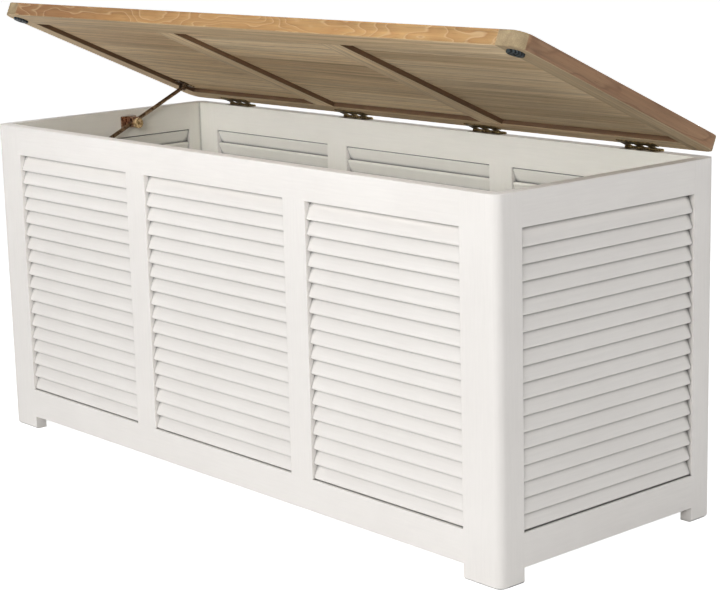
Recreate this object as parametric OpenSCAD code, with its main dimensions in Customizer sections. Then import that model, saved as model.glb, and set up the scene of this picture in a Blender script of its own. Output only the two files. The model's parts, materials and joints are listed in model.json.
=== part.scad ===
// Louvred storage bench: a white painted chest with slatted sides on feet, a hinged
// teak frame-and-panel seat lid, four butt hinges and a sliding rod stay at the left.
// Origin: centre of the footprint, on the floor. +X right, -Y front, +Z up.

/* [Chest] */
// Length of the chest over its front stiles
box_w = 1200; // [900:10:1500]
// Depth of the chest over its front and back frames
box_d = 440; // [360:10:560]
// Height of the chest from the floor to its top edge
box_h = 530; // [420:10:640]
// Thickness of every frame member of the chest
board_t = 20; // [18:0.5:26]
// Face width of a front or back stile
stile_w = 70; // [55:1:90]
// Width of a side stile, which stands behind the front or back stile
side_stile_w = 26; // [20:1:40]
// Face width of a mullion
mullion_w = 49; // [35:1:60]
// Clear width of the middle bay between the mullions
middle_bay_w = 341; // [240:1:420]
// Height of the top rails
top_rail_h = 48; // [36:1:70]
// Height of the bottom rails
bottom_rail_h = 49; // [36:1:70]
// Clear height of the feet below the bottom rails
foot_h = 22; // [10:1:60]
// Radius of the chest's four upright corners
corner_r = 14; // [4:1:18]
// Bevel round the sole of each foot
foot_bevel = 3; // [1:0.5:4]
// Length of the tenons on the rails and mullions
tenon_l = 16; // [8:1:20]
// Thickness of the tenons
tenon_t = 7; // [5:0.5:9]
// Shoulder left above and below a tenon
tenon_shoulder = 7; // [4:1:12]

/* [Louvres] */
// Slats in each bay
slat_count = 18; // [8:1:22]
// Thickness of a slat
slat_t = 6; // [4:0.5:7]
// Width of a slat from edge to edge
slat_chord = 28; // [24:0.5:32]
// Lean of a slat from the upright, lower edge outwards
slat_tilt = 20; // [18:1:25]
// Depth of the housings that hold the slat ends
housing_depth = 4; // [2:0.5:6]

/* [Floor of the chest] */
// Side of the square cleats under the floor boards
cleat = 18; // [12:1:26]
// Height of the cleats above the lower edge of the bottom rails
cleat_rise = 8; // [2:1:20]
// Number of floor boards
floor_count = 12; // [6:1:16]
// Thickness of the floor boards
floor_t = 12; // [8:1:18]
// Gap between floor boards
floor_gap = 6; // [2:0.5:12]

/* [Lid] */
// Thickness of the lid frame
lid_t = 22; // [18:0.5:30]
// Overhang of the lid past each side of the chest
lid_side_overhang = 11; // [0:1:30]
// Overhang of the closed lid past the front of the chest
lid_front_overhang = 9; // [0:1:30]
// Radius of the lid's corners, seen from above
lid_corner_r = 22; // [5:1:30]
// Width of the lid's two end stiles
lid_stile_w = 42; // [35:1:70]
// Width of the lid's front rail
lid_front_rail_w = 46; // [35:1:70]
// Width of the lid's rear rail
lid_rear_rail_w = 36; // [30:1:70]
// Width of the two cross rails
lid_cross_rail_w = 46; // [30:1:70]
// Depth of the panels above the underside of the frame
panel_recess = 7.5; // [5:0.5:10]
// Boards in each panel
panel_boards = 9; // [4:1:12]
// Depth of the V grooves between panel boards
v_groove = 0.6; // [0.3:0.1:2]
// Length of the tongues that hold the panels in the frame
tongue_l = 6; // [3:0.5:8]
// Thickness of the tongues
tongue_t = 5; // [4:0.5:6]
// How far the lid is open, from closed
lid_open = 24; // [0:1:60]

/* [Hinges] */
// Distance of the inner hinges from the middle of the chest
inner_hinge_x = 156; // [100:1:200]
// Distance of the outer hinges from the middle of the chest
outer_hinge_x = 472; // [400:1:520]
// Length of a hinge
hinge_l = 70; // [50:1:90]
// Thickness of the hinge leaves
leaf_t = 1.5; // [1.2:0.1:2.2]
// Outer radius of the hinge knuckles
knuckle_r = 2.4; // [2.2:0.1:3.5]
// Radius of the hinge pin
hinge_pin_r = 1.2; // [1:0.1:1.6]
// Knuckles in each hinge
knuckle_count = 6; // [4:2:8]
// Distance from the back of the chest in to the hinge axis
hinge_inset = 3; // [3:0.5:6]
// Distance from the hinge axis forward to the rear edge of the closed lid
lid_setback = 7.5; // [6:0.5:12]
// Width of the lid leaf, from the hinge axis
lid_leaf_w = 26; // [18:1:34]
// Length of the lid leaf's knuckle arms, from the hinge axis to its plate
arm_l = 11.5; // [8:0.5:13]
// Gap between the inner edge of the back rail and the box leaf
leaf_margin = 1.5; // [0.5:0.5:4]

/* [Bumpers] */
// Radius of a rubber bumper
bumper_r = 12.5; // [8:0.5:16]
// Distance from the lid's end to a bumper's centre
bumper_end = 26; // [22:1:60]
// Distance from the lid's front edge to a bumper's centre
bumper_front = 24; // [18:1:30]
// Flutes round the side of a bumper
bumper_flutes = 16; // [8:1:24]

/* [Stay] */
// Diameter of the stay rod
rod_d = 7; // [5:0.5:8]
// Distance from the left side of the chest's inside to the rod's axis
rod_inset = 16.5; // [14:0.5:22]
// Distance from the hinge axis forward to the rod's upper pivot
pivot_forward = 73; // [60:1:90]
// Height of the upper pivot above the hinge axis, lid closed
pivot_rise = 1; // [0:0.1:3]
// Length of the rod from its pivot to its stop nut
rod_l = 200; // [185:1:230]
// Length of the stop nut
nut_l = 8; // [5:1:12]
// Distance from the hinge axis forward to the middle of the guide
guide_forward = 178; // [165:1:195]
// Length of the guide along the side rail
guide_l = 31; // [29:1:40]
// Height of the guide
guide_h = 19; // [16:1:24]
// Depth of the guide's top edge below the chest's top edge
guide_drop = 10.5; // [6:0.5:16]
// Thickness of the guide's wall plate
guide_plate_t = 3; // [2:0.5:4]
// How far the rod crosses the guide below its middle
rod_low = 0; // [0:0.5:3]
// How far the knob's axis lies below the rod
knob_low = 1.2; // [0:0.1:2]
// Radius of the clamping knob
knob_r = 9; // [7:0.5:10]
// Length of the knob's head
knob_l = 8; // [5:0.5:10]
// Ridges round the knob
knob_ridges = 20; // [12:2:30]

/* [Clearances] */
// Gap all round a tenon, a tongue and the end of a slat in its housing
joint_gap = 0.15; // [0.1:0.05:0.3]
// Radial gap between a pin and what turns on it
pin_gap = 0.05; // [0.02:0.01:0.09]
// Gap between neighbouring hinge knuckles, and round them
knuckle_gap = 0.3; // [0.2:0.05:0.5]
// Gap between the stay rod and the guide's two cheeks
rod_gap = 0.35; // [0.2:0.05:0.6]
// Gap left under a bumper when the lid is shut
bumper_gap = 0.2; // [0.1:0.1:1]

/* [Hidden] */
$fn = 48;

// Chest
half_w = box_w / 2;
half_d = box_d / 2;
inner_x = half_w - board_t;
inner_y = half_d - board_t;
bay_edge = half_w - stile_w;
mullion_in = middle_bay_w / 2;
mullion_out = mullion_in + mullion_w;
side_bay_edge = inner_y - side_stile_w;
bay_bottom = foot_h + bottom_rail_h;
bay_top = box_h - top_rail_h;
over = 1;
frame_y = -half_d + board_t / 2;
frame_x = -half_w + board_t / 2;
rail_mids = [foot_h + bottom_rail_h / 2, box_h - top_rail_h / 2];
rail_hs = [bottom_rail_h, top_rail_h];
side_tenon_l = min(tenon_l, side_stile_w - 6);
floor_z = foot_h + cleat_rise + cleat;
floor_end_gap = 1;

// Louvres: a slat is a bar with round edges, and the row fills its bay with an equal overlap
slat_half = (slat_chord - slat_t) / 2;
slat_reach = slat_half * cos(slat_tilt) + slat_t / 2;
slat_end_gap = 0.5;
slat_in = housing_depth - joint_gap;
slat_pitch = (bay_top - bay_bottom - 2 * slat_end_gap - 2 * slat_reach) / (slat_count - 1);

// Hinges: the box leaves are let into the back rail, and the lid leaves lie under the lid
hinge_y = half_d - hinge_inset;
hinge_rise = knuckle_r + knuckle_gap;
hinge_z = box_h - leaf_t + hinge_rise;
hinge_xs = [-outer_hinge_x, -inner_hinge_x, inner_hinge_x, outer_hinge_x];
knuckle_l = hinge_l / knuckle_count;
box_leaf_front = inner_y + leaf_margin;
box_screw_y = (box_leaf_front + hinge_y - knuckle_r) / 2;
lid_leaf_front = hinge_y - lid_leaf_w;
lid_screw_y = lid_leaf_front + 7;
notch_d = 0.6;
recess_end = 1.4;
leaf_screw_xs = [-0.36 * hinge_l, 0, 0.36 * hinge_l];

// Lid, as it lies when closed
lid_x = half_w + lid_side_overhang;
lid_y0 = -half_d - lid_front_overhang;
lid_y1 = hinge_y - lid_setback;
lid_z0 = hinge_z + hinge_rise;
lid_z1 = lid_z0 + lid_t;
lid_inner_x = lid_x - lid_stile_w;
field_y0 = lid_y0 + lid_front_rail_w;
field_y1 = lid_y1 - lid_rear_rail_w;
cross_mid = mullion_in + mullion_w / 2 + 3;
cross_in = cross_mid - lid_cross_rail_w / 2;
cross_out = cross_mid + lid_cross_rail_w / 2;
panel_z0 = lid_z0 + panel_recess;
tongue_z = (panel_z0 + lid_z1) / 2;
lid_tenon_l = 24;
lid_tenon_t = 7;
lid_tenon_shoulder = tongue_l + 2;
lid_tenon_z = tongue_z - panel_recess / 2;
bumper_xs = [-(lid_x - bumper_end), lid_x - bumper_end];
bumper_y = lid_y0 + bumper_front;
bumper_h = lid_z0 - box_h - bumper_gap;
bumper_bevel = 0.8;

// Stay: the rod's pivot and slope follow the lid, and its guide is a fork open below
rod_r = rod_d / 2;
rod_x = -inner_x + rod_inset;
eye_r = rod_r + 0.9;
eye_w = rod_d;
ear_t = 1.4;
ear_gap = 0.4;
stay_pin_r = 1.6;
pivot_y = hinge_y - pivot_forward;
pivot_z = hinge_z + pivot_rise;
open_pivot_y = hinge_y - pivot_forward * cos(lid_open) + pivot_rise * sin(lid_open);
open_pivot_z = hinge_z + pivot_forward * sin(lid_open) + pivot_rise * cos(lid_open);
plate_t = 2.4;
ear_x0 = rod_x - eye_w / 2 - ear_gap - ear_t;
ear_x1 = rod_x + eye_w / 2 + ear_gap;
plate_x0 = ear_x0;
ear_r = eye_r + 0.5;
plate_w = 15;
bracket_l = 36;
guide_y = hinge_y - guide_forward;
guide_z = box_h - guide_drop - guide_h / 2;
guide_y0 = guide_y - guide_l / 2;
guide_y1 = guide_y + guide_l / 2;
guide_z0 = guide_z - guide_h / 2;
guide_z1 = guide_z + guide_h / 2;
rod_slope = atan2(open_pivot_z - guide_z + rod_low, open_pivot_y - guide_y);
web_h = 2.6;
cheek_t = 2.4;
fork_half = 7;
cheek_x0 = rod_x + rod_r + rod_gap;
cheek_x1 = cheek_x0 + cheek_t;
knob_y = guide_y + 2.3;
knob_z = guide_z - rod_low - knob_low;
fork_y0 = knob_y - fork_half;
fork_y1 = knob_y + fork_half;
guide_screw_ys = [(guide_y0 + fork_y0) / 2, (fork_y1 + guide_y1) / 2];
knob_x0 = cheek_x1 + 1.2;
knob_x1 = knob_x0 + knob_l;
knob_boss_r = 6;
knob_shank_r = 2.2;
nut_r = 4.2;

// Screws: all have flat heads sunk flush
screw_r = 1.5;
screw_head_r = 2.8;
screw_head_h = 1.3;
screw_l = 14;
slot_l = 3.4;
slot_w = 0.7;
slot_d = 0.7;
bumper_head_sink = 1;
bumper_screw_l = bumper_h - bumper_head_sink + panel_recess - 1;
bracket_screw_l = plate_t + 9;
bracket_screw_y = 12;

paint = [0.95, 0.94, 0.92];
teak = [0.66, 0.48, 0.3];
brass = [0.45, 0.34, 0.2];

module painted() {
    color(paint) children();
}

module wood() {
    color(teak) children();
}

module metal() {
    color(brass) children();
}

// Box between two opposite corners
module block(a, b) {
    translate(a) cube(b - a);
}

// Turns the closed lid and what rides on it about the hinge axis
module opened() {
    translate([0, hinge_y, hinge_z])
        rotate([-lid_open, 0, 0])
            translate([0, -hinge_y, -hinge_z]) children();
}

// ---- louvres ----

// Section of one slat, upright along +Y, grown all round for its housing
module slat_section(grow = 0) {
    r = slat_t / 2 + grow;
    translate([0, -slat_half]) circle(r);
    translate([0, slat_half]) circle(r);
    square([2 * r, 2 * slat_half], center = true);
}

// Row of slats running along X from x0 to x1, in a front frame that faces -Y
module slat_row(x0, x1, grow = 0) {
    for (i = [0 : slat_count - 1])
        translate([x0, -half_d + board_t / 2, bay_bottom + slat_end_gap + slat_reach + i * slat_pitch])
            rotate([90, 0, 90])
                linear_extrude(x1 - x0)
                    rotate(-slat_tilt) slat_section(grow);
}

// The same housings and slats for a side frame that faces -X, between y0 and y1
module side_slat_row(y0, y1, grow = 0) {
    translate([half_d - half_w, 0, 0]) rotate(-90) slat_row(-y1, -y0, grow);
}

// ---- chest, drawn for the front left and mirrored into place ----

module to_right() {
    mirror([1, 0, 0]) children();
}

module to_back() {
    mirror([0, 1, 0]) children();
}

// Tenon on the end of a member, centred on c, of size s, shrunk for its mortise by gap
module tenon(c, s, gap = 0) {
    translate(c) cube(s - [2 * gap, 2 * gap, 2 * gap], center = true);
}

// Tenon k (0 bottom, 1 top) of a front rail into the left stile
module front_rail_tenon(k, gap = 0) {
    tenon([-bay_edge, frame_y, rail_mids[k]], [2 * tenon_l, tenon_t, rail_hs[k] - 2 * tenon_shoulder], gap);
}

// Tenon k of a left rail into the front side stile
module side_rail_tenon(k, gap = 0) {
    tenon([frame_x, -side_bay_edge, rail_mids[k]],
          [tenon_t, 2 * side_tenon_l, rail_hs[k] - 2 * tenon_shoulder], gap);
}

// Tenon of the left mullion into the bottom (k = 0) or top (k = 1) rail
module mullion_tenon(k, gap = 0) {
    tenon([-(mullion_in + mullion_out) / 2, frame_y, k == 0 ? bay_bottom : bay_top],
          [mullion_w - 2 * tenon_shoulder, tenon_t, 2 * tenon_l], gap);
}

// Plan of the left front stile, with the chest's corner rounded
module stile_plan() {
    difference() {
        translate([-half_w, -half_d]) square([stile_w, board_t]);
        translate([-half_w - over, -half_d - over]) square(corner_r + over);
    }
    intersection() {
        translate([-half_w + corner_r, -half_d + corner_r]) circle(corner_r, $fn = 96);
        translate([-half_w, -half_d]) square(corner_r);
    }
}

// Long wedge that bevels a straight edge lying on the floor along +Z of its own frame
module edge_bevel(l) {
    rotate(45) translate([-foot_bevel * sqrt(0.5), -foot_bevel * sqrt(0.5), 0])
        cube([2 * foot_bevel * sqrt(0.5), 2 * foot_bevel * sqrt(0.5), l]);
}

// Bevel round the sole of the front left foot: along its face, its rounded corner and its side
module foot_bevels() {
    translate([-half_w + corner_r, -half_d, 0]) rotate([0, 90, 0]) edge_bevel(stile_w);
    translate([-half_w, -half_d + corner_r, 0]) rotate([-90, 0, 0]) edge_bevel(board_t + side_stile_w);
    translate([-half_w + corner_r, -half_d + corner_r, 0]) rotate(180)
        rotate_extrude(angle = 90, $fn = 96)
            polygon([[corner_r - foot_bevel, -over], [corner_r - foot_bevel, 0], [corner_r, foot_bevel],
                     [corner_r + over, foot_bevel], [corner_r + over, -over]]);
}

module front_left_stile() {
    painted() difference() {
        linear_extrude(box_h) stile_plan();
        for (k = [0, 1]) front_rail_tenon(k);
        slat_row(-bay_edge - housing_depth, -bay_edge + over, joint_gap);
        foot_bevels();
    }
}

module left_front_stile() {
    painted() difference() {
        block([-half_w, -inner_y, 0], [-inner_x, -side_bay_edge, box_h]);
        for (k = [0, 1]) side_rail_tenon(k);
        side_slat_row(-side_bay_edge - housing_depth, -side_bay_edge + over, joint_gap);
        foot_bevels();
    }
}

// Front rail: k = 0 is the bottom rail, k = 1 the top rail
module front_rail(k) {
    painted() difference() {
        union() {
            translate([0, frame_y, rail_mids[k]]) cube([2 * bay_edge, board_t, rail_hs[k]], center = true);
            front_rail_tenon(k, joint_gap);
            to_right() front_rail_tenon(k, joint_gap);
        }
        mullion_tenon(k);
        to_right() mullion_tenon(k);
    }
}

// Left rail: k = 0 is the bottom rail, k = 1 the top rail
module left_rail(k) {
    painted() {
        translate([frame_x, 0, rail_mids[k]]) cube([board_t, 2 * side_bay_edge, rail_hs[k]], center = true);
        side_rail_tenon(k, joint_gap);
        to_back() side_rail_tenon(k, joint_gap);
    }
}

module front_left_mullion() {
    painted() {
        difference() {
            block([-mullion_out, -half_d, bay_bottom], [-mullion_in, -inner_y, bay_top]);
            slat_row(-mullion_out - over, -mullion_out + housing_depth, joint_gap);
            slat_row(-mullion_in - housing_depth, -mullion_in + over, joint_gap);
        }
        for (k = [0, 1]) mullion_tenon(k, joint_gap);
    }
}

module outer_louvres() {
    painted() slat_row(-bay_edge - slat_in, -mullion_out + slat_in);
}

module middle_louvres() {
    painted() slat_row(-mullion_in - slat_in, mullion_in + slat_in);
}

module side_louvres() {
    painted() side_slat_row(-side_bay_edge - slat_in, side_bay_edge + slat_in);
}

module back_top_rail() {
    difference() {
        to_back() front_rail(1);
        hinge_recesses();
        at_hinge_box_screws() screw_body(screw_l);
    }
}

module left_top_rail() {
    difference() {
        left_rail(1);
        at_guide_screws() screw_body(screw_l);
    }
}

module floor_cleats() {
    for (side = [0, 1])
        painted() mirror([0, side, 0])
            block([-inner_x, -inner_y, foot_h + cleat_rise], [inner_x, -inner_y + cleat, floor_z]);
}

module floor_boards() {
    pitch = (2 * inner_x - floor_gap) / floor_count;
    for (i = [0 : floor_count - 1])
        painted() block([-inner_x + floor_gap + i * pitch, -inner_y + floor_end_gap, floor_z],
                        [-inner_x + (i + 1) * pitch, inner_y - floor_end_gap, floor_z + floor_t]);
}

// ---- lid, drawn closed ----

// Whole lid seen from above, with its rounded corners
module lid_plan() {
    for (sx = [-1, 1], y = [lid_y0 + lid_corner_r, lid_y1 - lid_corner_r])
        translate([sx * (lid_x - lid_corner_r), y]) circle(lid_corner_r, $fn = 96);
    translate([-lid_x, lid_y0 + lid_corner_r]) square([2 * lid_x, lid_y1 - lid_y0 - 2 * lid_corner_r]);
    translate([-lid_x + lid_corner_r, lid_y0]) square([2 * (lid_x - lid_corner_r), lid_y1 - lid_y0]);
}

// The panel boards' outline at their tongues, which is also the groove in the frame
module panel_tongue(x0, x1, gap = 0) {
    t = tongue_l - gap;
    h = tongue_t / 2 - gap;
    block([x0 - t, field_y0 - t, tongue_z - h], [x1 + t, field_y1 + t, tongue_z + h]);
}

module all_grooves() {
    panel_tongue(-lid_inner_x, -cross_out);
    panel_tongue(-cross_in, cross_in);
    panel_tongue(cross_out, lid_inner_x);
}

// Tenons of the lid's front and rear rails into its left stile
module lid_front_tenon(gap = 0) {
    tenon([-lid_inner_x, lid_y0 + (lid_front_rail_w - tongue_l) / 2, lid_tenon_z],
          [2 * lid_tenon_l, lid_front_rail_w - 2 * lid_tenon_shoulder, lid_tenon_t], gap);
}

module lid_rear_tenon(gap = 0) {
    tenon([-lid_inner_x, lid_y1 - (lid_rear_rail_w - tongue_l) / 2, lid_tenon_z],
          [2 * lid_tenon_l, lid_rear_rail_w - 2 * lid_tenon_shoulder, lid_tenon_t], gap);
}

// Tenon of the left cross rail into the front or rear rail, at y
module cross_rail_tenon(y, gap = 0) {
    tenon([-cross_mid, y, lid_tenon_z],
          [lid_cross_rail_w - 2 * lid_tenon_shoulder, 2 * tenon_l, lid_tenon_t], gap);
}

module lid_left_stile() {
    opened() wood() difference() {
        intersection() {
            translate([0, 0, lid_z0]) linear_extrude(lid_t) lid_plan();
            block([-lid_x - over, lid_y0 - over, lid_z0 - over],
                  [-lid_inner_x, lid_y1 + over, lid_z1 + over]);
        }
        panel_tongue(-lid_inner_x, -cross_out);
        lid_front_tenon();
        lid_rear_tenon();
        at_bumper_screws() screw_body(bumper_screw_l);
    }
}

module lid_right_stile() {
    opened() wood() difference() {
        intersection() {
            translate([0, 0, lid_z0]) linear_extrude(lid_t) lid_plan();
            block([lid_inner_x, lid_y0 - over, lid_z0 - over],
                  [lid_x + over, lid_y1 + over, lid_z1 + over]);
        }
        panel_tongue(cross_out, lid_inner_x);
        to_right() lid_front_tenon();
        to_right() lid_rear_tenon();
        at_bumper_screws() screw_body(bumper_screw_l);
    }
}

module lid_front_rail() {
    opened() wood() difference() {
        union() {
            block([-lid_inner_x, lid_y0, lid_z0], [lid_inner_x, field_y0, lid_z1]);
            for (s = [0, 1]) mirror([s, 0, 0]) lid_front_tenon(joint_gap);
        }
        all_grooves();
        for (s = [0, 1]) mirror([s, 0, 0]) cross_rail_tenon(field_y0);
    }
}

module lid_rear_rail() {
    opened() wood() difference() {
        union() {
            block([-lid_inner_x, field_y1, lid_z0], [lid_inner_x, lid_y1, lid_z1]);
            for (s = [0, 1]) mirror([s, 0, 0]) lid_rear_tenon(joint_gap);
        }
        all_grooves();
        for (s = [0, 1]) mirror([s, 0, 0]) cross_rail_tenon(field_y1);
        at_hinge_lid_screws() screw_body(screw_l);
    }
}

// Cross rail at the left, closed lid
module cross_rail() {
    wood() difference() {
        union() {
            block([-cross_out, field_y0, lid_z0], [-cross_in, field_y1, lid_z1]);
            cross_rail_tenon(field_y0, joint_gap);
            cross_rail_tenon(field_y1, joint_gap);
        }
        panel_tongue(-lid_inner_x, -cross_out);
        panel_tongue(-cross_in, cross_in);
    }
}

// Section across board i of a panel: bevelled edges, tongue behind, groove in front;
// the first and last boards have tongues into the frame instead
module board_section(i) {
    w = (field_y1 - field_y0) / panel_boards;
    last = panel_boards - 1;
    b0 = field_y0 + i * w + joint_gap;
    b1 = field_y0 + (i + 1) * w - joint_gap;
    f = i == 0 ? field_y0 - tongue_l + joint_gap : b0 + tongue_l / 2;
    fh = i == 0 ? tongue_t / 2 - joint_gap : tongue_t / 2;
    r = i == last ? field_y1 + tongue_l - joint_gap : b1 + tongue_l / 2 - joint_gap;
    rh = tongue_t / 2 - joint_gap;
    polygon([[b0 + v_groove, panel_z0], [b1 - v_groove, panel_z0], [b1, panel_z0 + v_groove],
             [b1, tongue_z - rh], [r, tongue_z - rh], [r, tongue_z + rh], [b1, tongue_z + rh],
             [b1, lid_z1 - v_groove], [b1 - v_groove, lid_z1], [b0 + v_groove, lid_z1],
             [b0, lid_z1 - v_groove], [b0, tongue_z + fh], [f, tongue_z + fh],
             [f, tongue_z - fh], [b0, tongue_z - fh], [b0, panel_z0 + v_groove]]);
}

// One panel of lengthwise boards between x0 and x1, their ends cut back to tongues
module panel(x0, x1) {
    e = tongue_l - joint_gap;
    h = tongue_t / 2 - joint_gap;
    for (i = [0 : panel_boards - 1])
        wood() difference() {
            translate([x0 - e, 0, 0]) rotate([90, 0, 90]) linear_extrude(x1 - x0 + 2 * e) board_section(i);
            for (x = [x0 - tongue_l - over, x1 - joint_gap], z = [tongue_z - h - lid_t, tongue_z + h])
                translate([x, field_y0 - lid_t, z])
                    cube([tongue_l + over + joint_gap, field_y1 - field_y0 + 2 * lid_t, lid_t]);
        }
}

module lid_left_panel() {
    opened() difference() {
        panel(-lid_inner_x, -cross_out);
        at_bracket_screws() screw_body(bracket_screw_l);
    }
}

// ---- screws ----

// Flat-headed screw pointing along +Z with the top of its head at the origin
module screw_body(l) {
    cylinder(h = screw_head_h, r1 = screw_head_r, r2 = screw_r);
    cylinder(h = l, r = screw_r);
}

module screw(l) {
    metal() difference() {
        screw_body(l);
        for (a = [0, 90])
            rotate(a) cube([slot_l, slot_w, 2 * slot_d], center = true);
    }
}

module at_hinge_box_screws() {
    for (x = hinge_xs, dx = leaf_screw_xs)
        translate([x + dx, box_screw_y, box_h]) rotate([180, 0, 0]) children();
}

module at_hinge_lid_screws() {
    for (x = hinge_xs, dx = leaf_screw_xs)
        translate([x + dx, lid_screw_y, lid_z0 - leaf_t]) children();
}

module at_bumper_screws() {
    for (x = bumper_xs)
        translate([x, bumper_y, lid_z0 - bumper_h + bumper_head_sink]) children();
}

module at_bracket_screws() {
    for (s = [-1, 1])
        translate([plate_x0 + plate_w / 2, pivot_y + s * bracket_screw_y, panel_z0 - plate_t]) children();
}

module at_guide_screws() {
    for (y = guide_screw_ys)
        translate([-inner_x + guide_plate_t, y, guide_z]) rotate([0, -90, 0]) children();
}

// ---- bumpers ----

module lid_bumpers() {
    opened() for (x = bumper_xs)
        color([0.2, 0.18, 0.16]) translate([x, bumper_y, lid_z0 - bumper_h]) difference() {
            union() {
                cylinder(h = bumper_bevel, r1 = bumper_r - bumper_bevel, r2 = bumper_r, $fn = 96);
                translate([0, 0, bumper_bevel])
                    cylinder(h = bumper_h - bumper_bevel, r = bumper_r, $fn = 96);
            }
            translate([0, 0, -over]) cylinder(h = bumper_head_sink + over, r = screw_head_r + 0.3);
            translate([0, 0, bumper_head_sink]) screw_body(bumper_h);
            for (i = [0 : bumper_flutes - 1])
                rotate(i * 360 / bumper_flutes)
                    translate([bumper_r + 0.4, 0, -over])
                        cylinder(h = bumper_h - bumper_bevel + over, r = 1.2, $fn = 24);
        }
}

// ---- hinges ----

// Barrel lying along X on the hinge axis of a hinge whose middle is at x = 0
module axle(x0, x1, r) {
    translate([x0, hinge_y, hinge_z]) rotate([0, 90, 0]) cylinder(h = x1 - x0, r = r);
}

function knuckle_x(k) = -hinge_l / 2 + k * knuckle_l;

// Recesses in the back rail's top for the box leaves and for the barrels behind them
module hinge_recesses() {
    for (x = hinge_xs) {
        block([x - hinge_l / 2 - joint_gap, box_leaf_front - joint_gap, box_h - leaf_t],
              [x + hinge_l / 2 + joint_gap, half_d + over, box_h + over]);
        block([x - hinge_l / 2 - recess_end, hinge_y - knuckle_r - notch_d, box_h - leaf_t],
              [x + hinge_l / 2 + recess_end, half_d + over, box_h + over]);
    }
}

// One leaf from y0, z0 with its knuckles from number first on, cut back by notch from the
// hinge axis between them: the lid's are the even knuckles and the box's the odd
module leaf(first, y0, z0, notch, bore_r) {
    side = knuckle_gap / 4;
    difference() {
        union() {
            block([-hinge_l / 2, y0, z0], [hinge_l / 2, hinge_y, z0 + leaf_t]);
            for (k = [first : 2 : knuckle_count - 1])
                axle(knuckle_x(k) + side, knuckle_x(k + 1) - side, knuckle_r);
        }
        for (k = [1 - first : 2 : knuckle_count - 1])
            block([knuckle_x(k) - side, hinge_y - notch, z0 - over],
                  [knuckle_x(k + 1) + side, hinge_y + over, z0 + leaf_t + over]);
        axle(-hinge_l, hinge_l, bore_r);
    }
}

module hinge_box_leaves() {
    metal() difference() {
        for (x = hinge_xs)
            translate([x, 0, 0]) leaf(1, box_leaf_front, box_h - leaf_t, knuckle_r + notch_d, hinge_pin_r);
        at_hinge_box_screws() screw_body(screw_l);
    }
}

module hinge_lid_leaves() {
    opened() metal() difference() {
        for (x = hinge_xs)
            translate([x, 0, 0]) leaf(0, lid_leaf_front, lid_z0 - leaf_t, arm_l, hinge_pin_r + pin_gap);
        at_hinge_lid_screws() screw_body(screw_l);
    }
}

module hinge_pins() {
    for (x = hinge_xs)
        metal() translate([x, 0, 0]) {
            axle(-hinge_l / 2 - 1, hinge_l / 2 + 1, hinge_pin_r);
            axle(-hinge_l / 2 - 1, -hinge_l / 2 - 0.2, hinge_pin_r + 0.7);
            axle(hinge_l / 2 + 0.2, hinge_l / 2 + 1, hinge_pin_r + 0.7);
        }
}

// ---- stay ----

// Bar lying along X at the rod's upper pivot, lid closed
module cross_bar(x0, x1, r) {
    translate([x0, pivot_y, pivot_z]) rotate([0, 90, 0]) cylinder(h = x1 - x0, r = r);
}

module stay_lid_bracket() {
    opened() metal() difference() {
        union() {
            block([plate_x0, pivot_y - bracket_l / 2, panel_z0 - plate_t],
                  [plate_x0 + plate_w, pivot_y + bracket_l / 2, panel_z0]);
            for (x = [ear_x0, ear_x1]) {
                cross_bar(x, x + ear_t, ear_r);
                block([x, pivot_y - ear_r, pivot_z], [x + ear_t, pivot_y + ear_r, panel_z0 - plate_t]);
            }
        }
        cross_bar(plate_x0 - over, plate_x0 + plate_w + over, stay_pin_r);
        at_bracket_screws() screw_body(bracket_screw_l);
    }
}

module stay_pivot_pin() {
    opened() metal() {
        cross_bar(ear_x0, ear_x1 + ear_t + 1, stay_pin_r);
        cross_bar(ear_x1 + ear_t, ear_x1 + ear_t + 1, stay_pin_r + 1);
    }
}

// Puts a child drawn along +Z from the pivot onto the rod's line
module along_rod() {
    translate([rod_x, open_pivot_y, open_pivot_z]) rotate([90 + rod_slope, 0, 0]) children();
}

module stay_rod() {
    metal() along_rod() difference() {
        union() {
            translate([-eye_w / 2, 0, 0]) rotate([0, 90, 0]) cylinder(h = eye_w, r = eye_r);
            cylinder(h = rod_l, r = rod_r);
        }
        translate([-eye_w, 0, 0]) rotate([0, 90, 0]) cylinder(h = 2 * eye_w, r = stay_pin_r + pin_gap);
    }
}

module stay_stop_nut() {
    metal() along_rod() translate([0, 0, rod_l - nut_l - 1]) difference() {
        union() {
            cylinder(h = nut_l - 1, r = nut_r);
            translate([0, 0, nut_l - 1]) cylinder(h = 1, r1 = nut_r, r2 = nut_r - 1);
        }
        translate([0, 0, -over]) cylinder(h = nut_l + 2 * over, r = rod_r);
    }
}

// A plate screwed to the rail, with a fork for the rod that is bridged above its front half
module stay_guide() {
    metal() difference() {
        union() {
            block([-inner_x, guide_y0, guide_z0], [-inner_x + guide_plate_t, guide_y1, guide_z1]);
            block([-inner_x, fork_y0, guide_z0], [rod_x - rod_r - rod_gap, fork_y1, guide_z1]);
            block([-inner_x, fork_y0, guide_z1 - web_h], [cheek_x1, knob_y, guide_z1]);
            block([cheek_x0, fork_y0, guide_z0 + 1], [cheek_x1, fork_y1, guide_z1]);
            knob_bar(cheek_x0, cheek_x1, knob_boss_r);
        }
        knob_bar(cheek_x0 - over, cheek_x1 + over, knob_shank_r + pin_gap);
        at_guide_screws() screw_body(screw_l);
    }
}

// Bar lying along X on the clamping knob's axis
module knob_bar(x0, x1, r) {
    translate([x0, knob_y, knob_z]) rotate([0, 90, 0]) cylinder(h = x1 - x0, r = r);
}

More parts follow.
